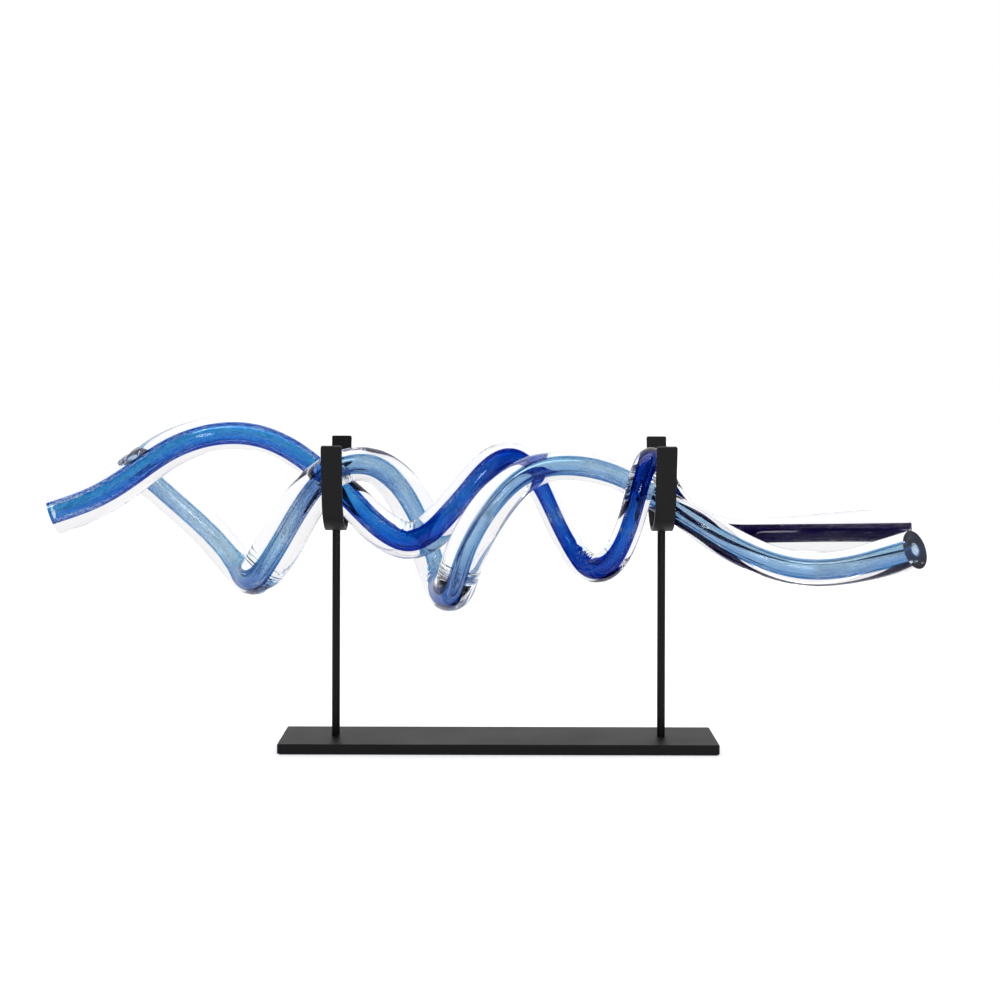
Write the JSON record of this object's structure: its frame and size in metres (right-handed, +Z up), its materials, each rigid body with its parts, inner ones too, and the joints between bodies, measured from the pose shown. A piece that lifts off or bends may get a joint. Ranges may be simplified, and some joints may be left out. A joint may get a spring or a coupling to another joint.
{
  "type": "glass wave sculpture",
  "caption": "Long wavy strands of clear-cased blue glass twined through each other, lying in two black steel cradles on a low flat stand.",
  "frame": {"origin": "on the surface that the stand rests on, under the middle of the base", "axes": "+X along the wave towards its thicker pale end, +Y towards the back, +Z up"},
  "size_m": [0.8603, 0.1383, 0.3285],
  "materials": {
    "black_steel": "satin black powder coat",
    "black_felt": "felt",
    "plain_steel": "plain",
    "clear_glass": "polished",
    "deep_blue_glass": "polished",
    "pale_blue_glass": "polished"
  },
  "bodies": {
    "stand": {"base_plate": "black_steel", "base_felt": "black_felt", "left_post": "black_steel", "right_post": "black_steel", "left_cradle": "black_steel", "right_cradle": "black_steel", "post_screws": "plain_steel", "cradle_screws": "plain_steel"},
    "glass": {"deep_blue_casing": "clear_glass", "deep_blue_core": "deep_blue_glass", "pale_blue_casing": "clear_glass", "pale_blue_core": "pale_blue_glass"}
  },
  "joints": [
    {"name": "glass_lift", "type": "slide", "parent": "stand", "child": "glass", "axis": [0, 0, 1], "range_m": [0, 0.18]}
  ]
}
